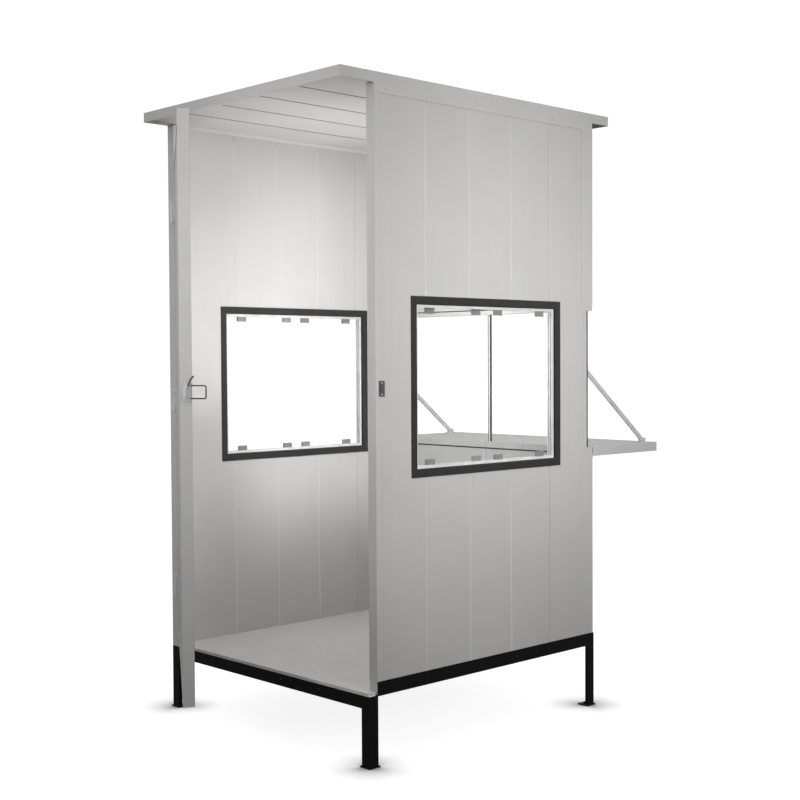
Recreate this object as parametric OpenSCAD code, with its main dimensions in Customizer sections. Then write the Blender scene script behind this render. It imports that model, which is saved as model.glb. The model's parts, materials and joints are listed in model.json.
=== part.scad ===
// Guard booth: insulated panel walls on a black angle frame with four legs, glazed side
// windows, a full width rear hatch with a counter, and one outward opening door.
// Millimetres. +X to the right of someone facing the doorway, +Y towards the counter, +Z up.
// The origin is the centre of the floor's top face.

/* [Booth] */
// Width over the side walls
booth_w = 1300; // [1000:5:2000]
// Depth from the front of the frame to the back wall's outer face
booth_d = 1350; // [1100:5:2400]
// Height from the floor to the ceiling
clear_h = 2300; // [2100:5:2700]
// Thickness of the wall panels
wall_t = 42; // [30:1:80]
// Thickness of the roof panel
roof_t = 40; // [30:1:100]
// How far the roof reaches past the front of the frame
roof_front = 125; // [0:5:400]
// How far the roof reaches past the back wall
roof_rear = 115; // [0:5:400]
// Width of the rim channel round the roof panel
roof_rim = 3; // [1.5:0.5:8]
// How far the right wall stops behind the front, where the door closes
wall_setback = 45; // [40:1:90]

/* [Base frame] */
// Height of the floor above the ground
floor_h = 286; // [120:1:500]
// Thickness of the floor board
floor_t = 12; // [8:1:30]
// Height of the side and rear angles above the floor
angle_rise = 38; // [15:1:80]
// Thickness of the angles
angle_t = 4; // [3:0.5:8]
// Width of the angle flange under the walls and the floor
angle_flange = 60; // [50:1:100]
// Height of the front beam
beam_h = 50; // [30:1:100]
// Width of each leg angle
leg_w = 45; // [30:1:80]
// How far a foot plate reaches past its leg
foot_lip = 5; // [0:1:20]
// Thickness of a foot plate
foot_t = 5; // [3:1:12]
// Depth of the joists under the floor
joist_h = 22; // [15:1:60]
// Width of the joists
joist_w = 40; // [20:1:80]
// Gap between the floor board and the frame upstand at the door corner
board_gap = 4; // [1:0.5:10]

/* [Side windows] */
// Outer length of a window frame
window_w = 896; // [400:2:1400]
// Outer height of a window frame
window_h = 706; // [400:2:1200]
// Height of a window frame's bottom edge above the floor
window_z = 800; // [500:2:1200]
// Distance from the front to the right window frame
window_right_y = 230; // [150:1:400]
// Distance from the front to the left window frame
window_left_y = 246; // [150:1:400]
// Face width of the window frame
frame_face = 30; // [20:1:60]
// How far the frame's lip covers the wall
frame_lip = 10; // [4:1:15]
// How far the frame stands out from the wall
frame_proud = 3; // [1:0.5:8]
// Face width of the light channel inside the frame
track_face = 14; // [8:1:25]
// Depth of the channel through the wall
track_d = 26; // [20:1:30]
// Depth that a pane sits in the channel
pane_seat = 8; // [4:1:12]
// Thickness of a glass pane
pane_t = 5; // [4:0.5:8]
// Distance between the two pane planes
pane_pitch = 11; // [8:0.5:16]
// Overlap of the panes at the middle
pane_lap = 18; // [8:1:40]
// Clearance round a pane's edge in its groove
pane_clear = 0.5; // [0.2:0.1:2]

/* [Rear hatch and counter] */
// Height of the top of the lower back wall
hatch_z = 838; // [600:2:1100]
// Height of the bottom of the upper back wall
hatch_top = 1492; // [1200:2:1900]
// Height of the sill rail
sill_h = 30; // [20:1:60]
// Height of the head rail
head_h = 21; // [15:1:60]
// Width of the mullion
mullion_w = 18; // [12:1:60]
// Sideways place of the mullion
mullion_x = 42; // [-200:1:200]
// How far the counter reaches out
counter_d = 485; // [200:5:700]
// Thickness of the counter
counter_t = 42; // [25:1:60]
// Gap between the counter and the back wall
counter_gap = 4; // [0:0.5:10]
// Height of a stay's upper end above the counter
stay_rise = 345; // [150:5:600]
// Distance of a stay's lower end from the back wall
stay_reach = 405; // [100:5:600]
// Width of a stay bar
stay_w = 20; // [8:1:30]
// Thickness of a stay bar
stay_t = 8; // [3:1:15]
// Distance from a stay to the booth's side
stay_inset = 26; // [15:1:100]
// Width of the stay brackets
bracket_w = 24; // [15:1:50]
// Thickness of a bracket's foot
bracket_t = 4; // [3:0.5:8]

/* [Door] */
// Thickness of the door leaf
door_t = 42; // [30:1:60]
// Distance that the leaf's face stands in front of the frame
door_proud = 3; // [0:0.5:10]
// Gap between the leaf and the left wall
door_gap = 6; // [5:0.5:12]
// Gap under the door
door_sill = 40; // [8:1:60]
// Height of the door leaf
door_h = 2097; // [1800:5:2400]
// Opening angle of the door at rest
door_angle = 33.5; // [0:0.5:120]
// Width of the rim round the leaf
door_rim_w = 32; // [20:1:80]
// How far the leaf's skin sits behind the rim
door_recess = 2; // [0.5:0.5:6]
// Height of a hinge
hinge_h = 100; // [60:2:160]
// Radius of a hinge knuckle
knuckle_r = 7; // [5:0.5:12]
// Radius of a hinge pin
pin_r = 4; // [2:0.5:6]
// Running clearance round a hinge pin
pin_clear = 0.06; // [0.02:0.01:0.1]
// Thickness of a hinge plate
hinge_t = 4; // [2:0.5:6]
// Length of a hinge plate
hinge_l = 34; // [20:1:60]
// Gap beside and between the knuckles
knuckle_gap = 1; // [0.5:0.1:3]
// Distance from the door's ends to the outer hinges
hinge_end = 220; // [100:5:500]

/* [Latch] */
// Height of the latch above the floor
latch_z = 1150; // [800:5:1500]
// Width of the latch plate
latch_plate_w = 28; // [20:1:40]
// Height of the latch plate
latch_plate_h = 64; // [40:1:100]
// Thickness of the latch plate and the keeper plate
latch_plate_t = 3; // [2:0.5:6]
// Radius of the latch pivot pin
latch_pin_r = 3; // [2:0.5:5]
// Radius of the hook's sleeve
sleeve_r = 6; // [4:0.5:10]
// Reach of the hook from its pivot
hook_reach = 68; // [50:1:90]
// Height over the hook's arms
hook_h = 50; // [30:1:80]
// Thickness of the hook's arms
hook_t = 6; // [4:0.5:10]
// Length of the lever
lever_l = 30; // [20:1:60]
// Angle of the hook away from its closed place at rest
hook_angle = 30; // [0:1:90]
// Distance from the wall's end to the keeper
keeper_y = 14; // [8:1:40]
// Length of the keeper plate
keeper_w = 30; // [20:1:50]
// Height of the keeper plate
keeper_h = 60; // [30:1:90]
// How far the keeper's lug stands out
lug_out = 10; // [5:1:20]
// Length of the keeper's lug
lug_w = 8; // [4:1:15]
// Height of the keeper's lug
lug_h = 20; // [10:1:40]

/* [Hidden] */
eps = 0.01;
xo = booth_w / 2;
xi = xo - wall_t;
yf = -booth_d / 2;
yb = booth_d / 2;
base_z = -floor_t;
flange_z = base_z - angle_t;
frame_x = xo + angle_t;
frame_yb = yb + angle_t;
roof_z = clear_h;
leg_x = frame_x - leg_w;
joist_span = 2 * (frame_x - angle_flange);
joist_ys = [yf + booth_d / 3, yf + 2 * booth_d / 3];
frame_w = window_w - 2 * frame_lip;
frame_h = window_h - 2 * frame_lip;
sight_w = window_w - 2 * frame_face;
sight_h = window_h - 2 * frame_face;
glass_w = sight_w - 2 * track_face;
glass_h = sight_h - 2 * track_face;
groove_w = pane_t + 2 * pane_clear;
counter_top = hatch_z + sill_h;
stay_x = xo - stay_inset;
pin_x = -xi + door_gap / 2;
leaf_x = -xi + door_gap;
leaf_y = yf - door_proud;
pin_y = leaf_y - knuckle_r - knuckle_gap;
hinge_zs = [door_sill + hinge_end, door_sill + door_h / 2, door_sill + door_h - hinge_end];
knuckle_h = hinge_h / 3;
latch_x = xo + latch_plate_t + sleeve_r + knuckle_gap;
latch_y = leaf_y + door_t - sleeve_r - door_proud;

// A box given by its low and high corners.
module span(lo, hi) {
  translate(lo) cube(hi - lo);
}

// Side angle of the base frame on the right, with its flange under the wall and the floor.
module side_angle(y_start) {
  span([xo, y_start, flange_z], [frame_x, frame_yb, angle_rise]);
  span([frame_x - angle_flange, y_start, flange_z], [frame_x, yb, base_z]);
}

module frame_side_left() {
  color("black") mirror([1, 0, 0]) side_angle(yf + leg_w);
}

module frame_side_right() {
  color("black") side_angle(yf + leg_w);
}

module frame_front() {
  color("black") {
    span([-leg_x, yf, base_z - beam_h], [leg_x, yf + angle_t, base_z]);
    span([-leg_x, yf, flange_z], [leg_x, yf + leg_w, base_z]);
  }
}

module frame_back() {
  color("black") {
    span([-xo, yb, flange_z], [xo, frame_yb, angle_rise]);
    span([-frame_x + angle_flange, frame_yb - angle_flange, flange_z],
         [frame_x - angle_flange, frame_yb, base_z]);
  }
}

// Right hand leg: an angle with its corner outwards, on a foot plate.
module leg(y_corner, rear, top) {
  y0 = rear ? y_corner - leg_w : y_corner;
  y1 = y0 + leg_w;
  face = rear ? [y1 - angle_t, y1] : [y0, y0 + angle_t];
  bottom = -floor_h + foot_t;
  span([frame_x - angle_t, y0, bottom - eps], [frame_x, y1, top]);
  span([leg_x, face[0], bottom - eps], [frame_x, face[1], top]);
  span([leg_x - foot_lip, y0 - foot_lip, -floor_h],
       [frame_x + foot_lip, y1 + foot_lip, bottom]);
}

module leg_front_left() {
  color("black") mirror([1, 0, 0]) leg(yf, false, base_z);
}

module leg_front_right() {
  color("black") leg(yf, false, base_z);
}

module leg_rear_left() {
  color("black") mirror([1, 0, 0]) leg(frame_yb, true, flange_z);
}

module leg_rear_right() {
  color("black") leg(frame_yb, true, flange_z);
}

module joist(y) {
  span([-joist_span / 2, y - joist_w / 2, base_z - joist_h],
       [joist_span / 2, y + joist_w / 2, base_z]);
}

module joist_front() {
  color("black") joist(joist_ys[0]);
}

module joist_rear() {
  color("black") joist(joist_ys[1]);
}

// The board fills the room and reaches across the threshold to the right hand corner.
module floor_board() {
  color("lightgrey") {
    span([-xi, yf, base_z], [xi, yb - wall_t, 0]);
    span([0, yf, base_z], [xo - board_gap, yf + wall_setback - board_gap, 0]);
  }
}

// Side wall on the right from y_start, with the hole for its window frame.
module side_wall(y_start, window_y) {
  difference() {
    span([xi, y_start, base_z], [xo, yb - wall_t, clear_h]);
    span([xi - 1, yf + window_y + frame_lip, window_z + frame_lip],
         [xo + 1, yf + window_y + frame_lip + frame_w, window_z + frame_lip + frame_h]);
  }
}

module wall_left() {
  color("gainsboro") mirror([1, 0, 0]) side_wall(yf, window_left_y);
}

module wall_right() {
  color("gainsboro") side_wall(yf + wall_setback, window_right_y);
}

module wall_back_lower() {
  color("gainsboro") span([-xo, yb - wall_t, base_z], [xo, yb, hatch_z]);
}

module wall_back_upper() {
  color("gainsboro") span([-xo, yb - wall_t, hatch_top], [xo, yb, clear_h]);
}

module roof_panel() {
  color("gainsboro")
    span([-xo + roof_rim, yf - roof_front + roof_rim, roof_z],
         [xo - roof_rim, yb + roof_rear - roof_rim, roof_z + roof_t]);
}

module roof_edge() {
  color("whitesmoke") difference() {
    span([-xo, yf - roof_front, roof_z], [xo, yb + roof_rear, roof_z + roof_t]);
    span([-xo + roof_rim, yf - roof_front + roof_rim, roof_z - 1],
         [xo - roof_rim, yb + roof_rear - roof_rim, roof_z + roof_t + 1]);
  }
}

// A ring in the wall's plane, centred on the window, from x0 to x1.
module window_ring(y, x0, x1, outer_w, outer_h, inner_w, inner_h) {
  yc = yf + y + window_w / 2;
  zc = window_z + window_h / 2;
  difference() {
    span([x0, yc - outer_w / 2, zc - outer_h / 2], [x1, yc + outer_w / 2, zc + outer_h / 2]);
    span([x0 - 1, yc - inner_w / 2, zc - inner_h / 2],
         [x1 + 1, yc + inner_w / 2, zc + inner_h / 2]);
  }
}

module window_frame(y) {
  window_ring(y, xi - frame_proud, xi, window_w, window_h, sight_w, sight_h);
  window_ring(y, xi - eps, xo + eps, frame_w, frame_h, sight_w, sight_h);
  window_ring(y, xo, xo + frame_proud, window_w, window_h, sight_w, sight_h);
}

module window_frame_left() {
  color("dimgray") mirror([1, 0, 0]) window_frame(window_left_y);
}

module window_frame_right() {
  color("dimgray") window_frame(window_right_y);
}

// Channel in the frame with one groove for each pane.
module window_track(y) {
  xc = xo - wall_t / 2;
  seat_w = glass_w + 2 * pane_seat + 2 * pane_clear;
  seat_h = glass_h + 2 * pane_seat + 2 * pane_clear;
  difference() {
    window_ring(y, xc - track_d / 2, xc + track_d / 2, sight_w, sight_h, glass_w, glass_h);
    for (side = [-1, 1])
      translate([side * pane_pitch / 2, 0, 0])
        window_ring(y, xc - groove_w / 2, xc + groove_w / 2, seat_w, seat_h,
                    glass_w - 2, glass_h - 2);
  }
}

module window_track_left() {
  color("white") mirror([1, 0, 0]) window_track(window_left_y);
}

module window_track_right() {
  color("white") window_track(window_right_y);
}

// One pane: half the opening plus half the overlap, seated in its groove on three sides.
module pane(y, rear) {
  side = rear ? 1 : -1;
  xc = xo - wall_t / 2 + side * pane_pitch / 2;
  yc = yf + y + window_w / 2;
  zc = window_z + window_h / 2;
  far = side * (glass_w / 2 + pane_seat);
  near = -side * pane_lap / 2;
  h = glass_h / 2 + pane_seat;
  span([xc - pane_t / 2, yc + min(far, near), zc - h],
       [xc + pane_t / 2, yc + max(far, near), zc + h]);
}

module glass_left_front() {
  color("lightblue", 0.4) mirror([1, 0, 0]) pane(window_left_y, false);
}

module glass_left_rear() {
  color("lightblue", 0.4) mirror([1, 0, 0]) pane(window_left_y, true);
}

module glass_right_front() {
  color("lightblue", 0.4) pane(window_right_y, false);
}

module glass_right_rear() {
  color("lightblue", 0.4) pane(window_right_y, true);
}

module hatch_sill() {
  color("gainsboro") span([-xo, yb - wall_t, hatch_z], [xo, yb, counter_top]);
}

module hatch_head() {
  color("gainsboro") span([-xo, yb - wall_t, hatch_top - head_h], [xo, yb, hatch_top]);
}

module hatch_mullion() {
  color("gainsboro")
    span([mullion_x - mullion_w / 2, yb - wall_t, counter_top],
         [mullion_x + mullion_w / 2, yb, hatch_top - head_h]);
}

// The counter lies outside the sill with a hinge strip that ties it to the back wall.
module counter_shelf() {
  color("gainsboro") {
    span([-xo, yb + counter_gap, counter_top - counter_t],
         [xo, yb + counter_d, counter_top]);
    span([-xo, yb, counter_top - counter_t], [xo, yb + counter_gap + eps, hatch_z]);
  }
}

// Stay on the right: a flat bar from a bracket on the wall's end to a bracket on the counter.
module counter_stay() {
  top = [stay_x, yb - wall_t / 2, counter_top + stay_rise];
  foot = [stay_x, yb + stay_reach, counter_top + bracket_w / 2];
  run = foot - top;
  translate(top) rotate([atan2(-run[1], run[2]), 0, 0])
    span([-stay_t / 2, -stay_w / 2, 0], [stay_t / 2, stay_w / 2, norm(run)]);
  span([stay_x - bracket_w / 2, yb - wall_t, top[2] - bracket_w],
       [stay_x + bracket_w / 2, top[1] + stay_w / 2, top[2] + bracket_w / 2]);
  span([stay_x - bracket_w / 2, foot[1] - bracket_w, counter_top],
       [stay_x + bracket_w / 2, foot[1] + bracket_w, counter_top + bracket_t]);
  span([stay_x - bracket_w / 2, foot[1] - bracket_w / 2, counter_top],
       [stay_x + bracket_w / 2, foot[1] + bracket_w / 2, foot[2] + stay_w / 2]);
}

module counter_stay_left() {
  color("silver") mirror([1, 0, 0]) counter_stay();
}

module counter_stay_right() {
  color("silver") counter_stay();
}

// Turns the door from its closed place to the angle it stands at.
module swing() {
  translate([pin_x, pin_y, 0]) rotate([0, 0, -door_angle])
    translate([-pin_x, -pin_y, 0]) children();
}

module door_leaf() {
  color("gainsboro") swing()
    span([leaf_x + door_rim_w, leaf_y + door_recess, door_sill + door_rim_w],
         [xo - door_rim_w, leaf_y + door_t - door_recess, door_sill + door_h - door_rim_w]);
}

module door_rim() {
  color("whitesmoke") swing() difference() {
    span([leaf_x, leaf_y, door_sill], [xo, leaf_y + door_t, door_sill + door_h]);
    span([leaf_x + door_rim_w, leaf_y - 1, door_sill + door_rim_w],
         [xo - door_rim_w, leaf_y + door_t + 1, door_sill + door_h - door_rim_w]);
  }
}

// A hinge's fixed half: plate on the wall's end, two knuckles and the pin.
module hinge_fixed(z) {
  h = hinge_h / 2;
  k = knuckle_h / 2;
  color("silver") {
    span([pin_x - hinge_l, yf - hinge_t, z - h],
         [pin_x - knuckle_r - knuckle_gap, yf, z + h]);
    for (end = [[-h, -k - knuckle_gap], [k + knuckle_gap, h]]) {
      translate([pin_x, pin_y, z + end[0]])
        cylinder(h = end[1] - end[0], r = knuckle_r, $fn = 48);
      span([pin_x - knuckle_r - knuckle_gap - eps, pin_y, z + end[0]],
           [pin_x, yf, z + end[1]]);
    }
    translate([pin_x, pin_y, z - h]) cylinder(h = hinge_h, r = pin_r, $fn = 48);
  }
}

module hinge_fixed_low() {
  hinge_fixed(hinge_zs[0]);
}

module hinge_fixed_mid() {
  hinge_fixed(hinge_zs[1]);
}

module hinge_fixed_top() {
  hinge_fixed(hinge_zs[2]);
}

// A hinge's moving half: plate on the leaf's face and the middle knuckle.
module hinge_moving(z) {
  k = knuckle_h / 2;
  x0 = pin_x + knuckle_r + knuckle_gap;
  color("silver") swing() difference() {
    union() {
      translate([pin_x, pin_y, z - k]) cylinder(h = knuckle_h, r = knuckle_r, $fn = 48);
      span([pin_x, leaf_y - hinge_t, z - k], [x0 + eps, leaf_y - knuckle_gap, z + k]);
      span([x0, leaf_y - hinge_t, z - hinge_h / 2],
           [pin_x + hinge_l, leaf_y, z + hinge_h / 2]);
    }
    translate([pin_x, pin_y, z - hinge_h])
      cylinder(h = 2 * hinge_h, r = pin_r + pin_clear, $fn = 48);
  }
}

module hinge_moving_low() {
  hinge_moving(hinge_zs[0]);
}

module hinge_moving_mid() {
  hinge_moving(hinge_zs[1]);
}

module hinge_moving_top() {
  hinge_moving(hinge_zs[2]);
}

// Plate on the leaf's free edge with two ears that hold the latch pin.
module latch_plate() {
  ear = latch_plate_h / 2 - hook_h / 2 - knuckle_gap;
  color("silver") swing() {
    span([xo, latch_y + sleeve_r - latch_plate_w, latch_z - latch_plate_h / 2],
         [xo + latch_plate_t, latch_y + sleeve_r, latch_z + latch_plate_h / 2]);
    for (side = [-1, 1])
      translate([0, 0, latch_z + side * (latch_plate_h - ear) / 2])
        span([xo, latch_y - sleeve_r, -ear / 2], [latch_x, latch_y + sleeve_r, ear / 2]);
    translate([latch_x, latch_y, latch_z - latch_plate_h / 2])
      cylinder(h = latch_plate_h, r = latch_pin_r, $fn = 32);
    for (side = [-1, 1])
      translate([latch_x, latch_y, latch_z + side * (latch_plate_h - ear) / 2 - ear / 2])
        cylinder(h = ear, r = sleeve_r, $fn = 32);
  }
}

// Sleeve on the pin with a lever and a looped hook that reaches past the keeper's lug.
module latch_hook() {
  arm_x = hook_t / 2;
  color("dimgray") swing()
    translate([latch_x, latch_y, latch_z]) rotate([0, 0, -hook_angle]) difference() {
      union() {
        translate([0, 0, -hook_h / 2]) cylinder(h = hook_h, r = sleeve_r, $fn = 32);
        for (side = [-1, 1])
          translate([0, 0, side * (hook_h - hook_t) / 2])
            span([-arm_x, 0, -hook_t / 2], [arm_x, hook_reach, hook_t / 2]);
        span([-arm_x, hook_reach - hook_t, -hook_h / 2], [arm_x, hook_reach, hook_h / 2]);
        span([0, -arm_x, -hook_h / 2], [lever_l, arm_x, hook_h / 2]);
      }
      translate([0, 0, -hook_h])
        cylinder(h = 2 * hook_h, r = latch_pin_r + pin_clear, $fn = 32);
    }
}

// Plate on the right wall beside the doorway, with the lug that the hook pulls on.
module latch_keeper() {
  y0 = yf + wall_setback + keeper_y;
  color("dimgray") {
    span([xo, y0, latch_z - keeper_h / 2], [xo + latch_plate_t, y0 + keeper_w,
         latch_z + keeper_h / 2]);
    span([xo, y0 + lug_w / 2, latch_z - lug_h / 2],
         [xo + latch_plate_t + lug_out, y0 + lug_w * 3 / 2, latch_z + lug_h / 2]);
  }
}

frame_side_left();
frame_side_right();
frame_front();
frame_back();
leg_front_left();
leg_front_right();
leg_rear_left();
leg_rear_right();
joist_front();
joist_rear();
floor_board();
wall_left();
wall_right();
wall_back_lower();
wall_back_upper();
roof_panel();
roof_edge();
window_frame_left();
window_frame_right();
window_track_left();
window_track_right();
glass_left_front();
glass_left_rear();
glass_right_front();
glass_right_rear();
hatch_sill();
hatch_head();
hatch_mullion();
counter_shelf();
counter_stay_left();
counter_stay_right();
door_leaf();
door_rim();
hinge_fixed_low();
hinge_fixed_mid();
hinge_fixed_top();
hinge_moving_low();
hinge_moving_mid();
hinge_moving_top();
latch_plate();
latch_hook();
latch_keeper();
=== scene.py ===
"""Guard booth: the looks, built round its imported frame. Lengths are in metres."""

import json
import math

import bmesh
import bpy
from bpy.props import FloatProperty, FloatVectorProperty, PointerProperty
from mathutils import Matrix, Vector


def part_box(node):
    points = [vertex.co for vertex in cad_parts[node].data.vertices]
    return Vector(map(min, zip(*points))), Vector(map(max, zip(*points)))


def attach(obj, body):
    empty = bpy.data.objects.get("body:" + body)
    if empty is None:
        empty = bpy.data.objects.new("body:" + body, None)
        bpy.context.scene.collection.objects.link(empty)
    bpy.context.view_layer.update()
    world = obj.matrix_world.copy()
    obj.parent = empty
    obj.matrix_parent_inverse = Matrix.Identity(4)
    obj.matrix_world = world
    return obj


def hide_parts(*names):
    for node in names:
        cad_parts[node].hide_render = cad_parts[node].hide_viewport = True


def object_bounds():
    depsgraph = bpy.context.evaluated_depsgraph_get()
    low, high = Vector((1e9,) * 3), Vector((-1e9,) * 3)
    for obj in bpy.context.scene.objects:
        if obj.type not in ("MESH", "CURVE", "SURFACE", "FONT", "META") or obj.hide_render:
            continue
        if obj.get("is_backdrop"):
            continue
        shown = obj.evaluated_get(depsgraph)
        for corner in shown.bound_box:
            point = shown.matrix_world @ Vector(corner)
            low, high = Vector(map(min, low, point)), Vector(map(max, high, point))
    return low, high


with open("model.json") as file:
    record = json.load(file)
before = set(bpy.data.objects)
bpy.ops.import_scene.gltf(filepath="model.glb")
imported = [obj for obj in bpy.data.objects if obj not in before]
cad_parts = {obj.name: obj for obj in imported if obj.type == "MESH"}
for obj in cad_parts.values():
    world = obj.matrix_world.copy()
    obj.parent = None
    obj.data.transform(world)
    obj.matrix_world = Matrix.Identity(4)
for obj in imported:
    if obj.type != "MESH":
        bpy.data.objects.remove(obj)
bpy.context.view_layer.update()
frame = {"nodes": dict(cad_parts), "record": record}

bl_info = {
    "name": "Guard Booth",
    "version": (1, 0, 0),
    "blender": (4, 5, 0),
    "location": "3D View > Sidebar > Booth",
    "description": "Builds the panels, trims, windows, door furniture and finishes of a guard booth",
    "category": "Object",
}

JOINTS = {j["name"]: j for j in frame["record"]["behaviour"]["joints"]}
PIN = Vector(JOINTS["door_swing"]["pos_m"])
OPEN_AT_REST = math.radians(-JOINTS["door_swing"]["range_deg"][0])
X, Y, Z = 0, 1, 2
SIDES = (("left", -1), ("right", 1))
HINGES = ("low", "mid", "top")
# Thickness of a hinge leaf and of the latch's plates, and how deep a small fitting is sunk in
HINGE_T = 0.004
PLATE_T = 0.003
SUNK = 0.0002


def turned(angle, centre):
    """A turn about an upright line through a point."""
    return Matrix.Translation(centre) @ Matrix.Rotation(angle, 4, "Z") @ Matrix.Translation(-centre)


SWING = turned(-OPEN_AT_REST, PIN)
HOOK_AT_REST = math.radians(-JOINTS["hook_swing"]["range_deg"][0])
HOOK_PIN = Matrix.Translation(JOINTS["hook_swing"]["pos_m"])
HOOK = HOOK_PIN @ Matrix.Rotation(-OPEN_AT_REST - HOOK_AT_REST, 4, "Z")


def closed_box(node, move=SWING):
    """The box of a node before a move: by default, a door node's with the door shut."""
    back = move.inverted()
    spots = [back @ v.co for v in frame["nodes"][node].data.vertices]
    return (
        Vector([min(p[i] for p in spots) for i in range(3)]),
        Vector([max(p[i] for p in spots) for i in range(3)]),
    )


# ---------------------------------------------------------------- sizes and colours


def length(name, text, value):
    return FloatProperty(name=name, description=text, default=value, min=0.0, max=5.0, unit="LENGTH")


def colour(name, text, value):
    return FloatVectorProperty(
        name=name, description=text, default=value, size=3, min=0.0, max=1.0, subtype="COLOR"
    )


def strength(name, text, value):
    return FloatProperty(name=name, description=text, default=value, min=0.0)


class BoothSizes(bpy.types.PropertyGroup):
    """Sizes of the panels' joints, the trims and the small fittings."""

    pitch: length("Joint pitch", "Distance between the joints of the panel boards", 0.2495)
    groove_w: length("Groove width", "Width of the V groove at a panel joint", 0.012)
    groove_d: length("Groove depth", "Depth of the V groove at a panel joint", 0.0028)
    # The dark strips in the roof's slits are painted shade.
    slit_w: length("Slit width", "Width of the dark strip in a roof groove", 0.0085)
    slit_d: length("Slit depth", "Depth of the slit below the groove", 0.008)
    bead_w: length("Sealant width", "Width of the sealant bead in a wall groove", 0.009)
    right_start: length("Right wall start", "Frame front to the right wall's first joint", 0.311)
    left_start: length("Left wall start", "Frame front to the left wall's first joint", 0.325)
    back_start: length("Back wall start", "Booth side to the back wall's first joint", 0.184)
    roof_start: length("Roof start", "Roof side to the ceiling's first joint", 0.043)
    sheet: length("Trim thickness", "Thickness of the folded sheet trims", 0.0014)
    trim_h: length("Top trim", "Height of the trim under the roof", 0.037)
    corner_w: length("Corner trim", "Width of the trim on the rear corners", 0.075)
    cove_w: length("Cove trim", "Width of the cove trim along the ceiling", 0.014)
    cap_lip: length("End cap lip", "Width of an end cap's lips on the wall's faces", 0.022)
    rivet_r: length("Rivet radius", "Radius of a rivet head", 0.0036)
    rivet_pitch: length("Rivet pitch", "Distance between rivets along a trim", 0.247)
    clip_l: length("Clip length", "Length of a glazing clip", 0.048)
    clip_h: length("Clip height", "Height of a glazing clip", 0.022)
    clip_t: length("Clip thickness", "Thickness of a glazing clip", 0.0104)
    seal: length("Seal", "Width of the rubber seals", 0.0028)
    jamb_seal: length("Jamb seal", "How far the hatch's rubber stands off the wall ends", 0.014)


class BoothFinishes(bpy.types.PropertyGroup):
    """Colours of the finishes."""

    panel: colour("Panels", "Prepainted steel of the walls", (0.605, 0.60, 0.59))
    trim: colour("Trims", "Folded trims, rims and channels", (0.615, 0.61, 0.60))
    frame: colour("Base frame", "Black paint of the angles and legs", (0.0045, 0.0045, 0.005))
    # Drawn lighter than the panels, so the silicone beads stand in for highlights along the joints:
    # painted highlight.
    sealant_highlight: colour("Sealant", "Silicone in the walls' joints", (0.655, 0.65, 0.64))
    charcoal: colour("Window frames", "Coating of the window frames", (0.030, 0.0295, 0.029))
    channel: colour("Window channels", "Aluminium channel round the glass", (0.86, 0.86, 0.86))
    glass: colour("Glass", "Tint of the panes", (0.86, 0.93, 0.91))
    floor: colour("Floor board", "Steel facing of the floor", (0.78, 0.775, 0.77))
    steel: colour("Plated steel", "Hinges, stays, screws and latch", (0.78, 0.78, 0.80))
    clip: colour("Glazing clips", "Grey blocks that grip the panes", (0.27, 0.265, 0.255))
    dark: colour("Dark fittings", "Hook and keeper", (0.10, 0.10, 0.105))
    rubber: colour("Rubber", "Seals and gaskets", (0.018, 0.018, 0.019))


class BoothStage(bpy.types.PropertyGroup):
    """Camera and light."""

    eye: FloatVectorProperty(
        name="Camera place", description="Where the camera stands", size=3,
        default=(4.3385, -4.0168, 1.2578), unit="LENGTH",
    )
    yaw: FloatProperty(
        name="Yaw", description="Turn of the camera from +Y", default=math.radians(46.3996),
        unit="ROTATION",
    )
    pitch: FloatProperty(
        name="Pitch", description="Tilt of the camera downwards", default=math.radians(1.7193),
        unit="ROTATION",
    )
    roll: FloatProperty(
        name="Roll", description="Roll of the camera", default=math.radians(-0.2996), unit="ROTATION"
    )
    lens: FloatProperty(name="Lens", description="Focal length in millimetres", default=59.834, min=10.0)
    floor: colour("Floor", "Pale studio floor", (0.45, 0.45, 0.45))
    glow: strength("Floor glow", "Light the floor gives off itself", 0.86)
    contact: length("Contact shade", "Reach of the shade round what stands on the floor", 0.2)
    sky: strength("Sky", "Strength of the light from above", 0.74)
    ground: strength("Ground", "Strength of the light from below", 0.01)
    key: strength("Key light", "Power of the large light beside the booth", 8.0)
    side: strength("Side light", "Power of the light beside the counter", 2.7)
    fill: strength("Fill light", "Power of the light before the doorway", 5.2)
    room: strength("Room light", "Power of the light in the room", 5.9)
    lift: strength("Lift light", "Power of the light on the ceiling", 8.0)
    drop: strength("Drop light", "Power of the light on the floor board", 2.9)


# ---------------------------------------------------------------- shader kit


class Value:
    """A number socket that takes Python's operators."""

    def __init__(self, graph, socket):
        self.graph, self.socket = graph, socket

    def maths(self, operation, a, b):
        node = self.graph.add("Math", {"operation": operation}, {0: a, 1: b})
        return Value(self.graph, node.outputs[0])

    def __add__(self, other):
        return self.maths("ADD", self, other)

    def __radd__(self, other):
        return self.maths("ADD", other, self)

    def __sub__(self, other):
        return self.maths("SUBTRACT", self, other)

    def __rsub__(self, other):
        return self.maths("SUBTRACT", other, self)

    def __mul__(self, other):
        return self.maths("MULTIPLY", self, other)

    def __rmul__(self, other):
        return self.maths("MULTIPLY", other, self)

    def __pow__(self, other):
        return self.maths("POWER", self, other)


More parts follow.
